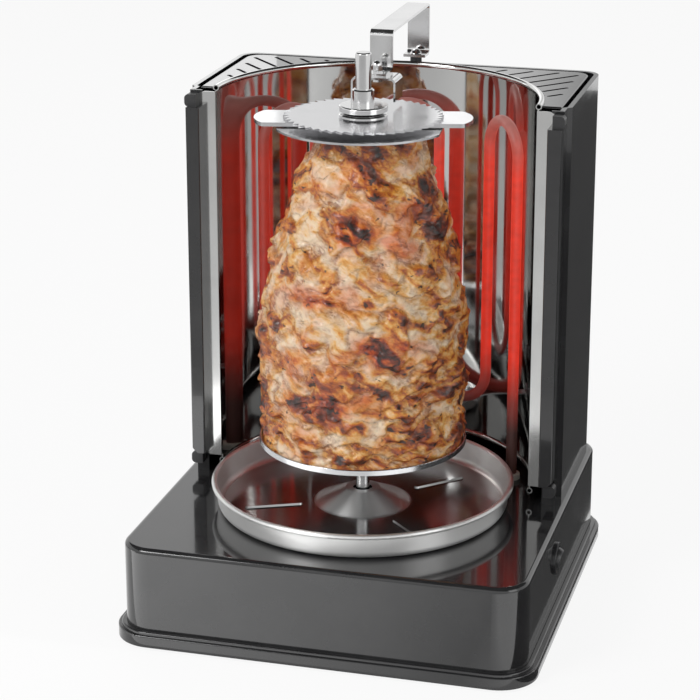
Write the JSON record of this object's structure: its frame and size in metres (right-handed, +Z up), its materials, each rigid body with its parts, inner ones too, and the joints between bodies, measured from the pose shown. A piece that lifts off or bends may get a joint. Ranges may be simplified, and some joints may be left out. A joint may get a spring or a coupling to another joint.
{
  "type": "electric skewer grill",
  "caption": "Upright electric skewer grill: a motor turns a loaded spit before a half-round mirror and a serpentine heating rod, above a lift-out drip tray.",
  "frame": {"origin": "on the table, under the middle of the base", "axes": "+Z up, -Y towards the open front, +X to the right of someone facing the front"},
  "size_m": [0.3, 0.302, 0.4093],
  "materials": {
    "black_enamel": "gloss black",
    "black_satin": "satin black",
    "polished_steel": "polished stainless",
    "brushed_steel": "brushed stainless",
    "bright_steel": "bright stainless",
    "glowing_rod": "sheathed rod, glowing red",
    "zinc_steel": "zinc plated",
    "black_rubber": "matte",
    "black_plastic": "matte black",
    "switch_plastic": "gloss black",
    "ceramic": "unglazed ceramic",
    "bronze": "sintered bronze",
    "roast_meat": "roasted, moist"
  },
  "bodies": {
    "housing": {"base_pan": "black_satin", "base_shell": "black_enamel", "rubber_feet": "black_rubber", "base_screws": "zinc_steel", "spindle_bush": "bronze", "gear_motor": "zinc_steel", "motor_plate": "zinc_steel", "motor_screws": "zinc_steel", "column_shell": "black_enamel", "top_plate": "black_enamel", "reflector": "polished_steel", "left_front_post": "black_enamel", "right_front_post": "black_enamel", "post_sockets": "black_plastic", "heating_rod": "glowing_rod", "rod_collars": "ceramic", "rod_clips": "zinc_steel", "support_arm": "bright_steel", "arm_spacer": "black_plastic", "arm_screw": "bright_steel", "guide_fork": "bright_steel", "fork_bolt": "bright_steel", "cap_nut": "bright_steel", "switch_body": "switch_plastic", "cord_gland": "black_plastic", "terminal_block": "ceramic", "thermal_cutout": "black_plastic"},
    "drive": {"drive_socket": "bright_steel", "motor_shaft": "zinc_steel"},
    "skewer": {"skewer_rod": "bright_steel", "lower_plate": "bright_steel", "toothed_disc": "bright_steel", "ear_plate": "bright_steel", "grip_plate": "bright_steel", "clamp_ring": "bright_steel", "clamp_nut": "bright_steel", "meat": "roast_meat"},
    "tray": {"drip_tray": "brushed_steel"},
    "rocker": {"switch_rocker": "switch_plastic"}
  },
  "joints": [
    {"name": "spindle_spin", "type": "hinge", "parent": "housing", "child": "drive", "pos_m": [0, -0.0217, 0.0755], "axis": [0, 0, 1], "continuous": true},
    {"name": "skewer_lift", "type": "slide", "parent": "drive", "child": "skewer", "axis": [0, 0, 1], "range_m": [0, 0.0035]},
    {"name": "tray_lift", "type": "slide", "parent": "housing", "child": "tray", "axis": [0, 0, 1], "range_m": [0, 0.025]},
    {"name": "switch_rock", "type": "hinge", "parent": "housing", "child": "rocker", "pos_m": [0.1431, -0.0285, 0.048], "axis": [0, 1, 0], "range_deg": [-22, 0]}
  ]
}
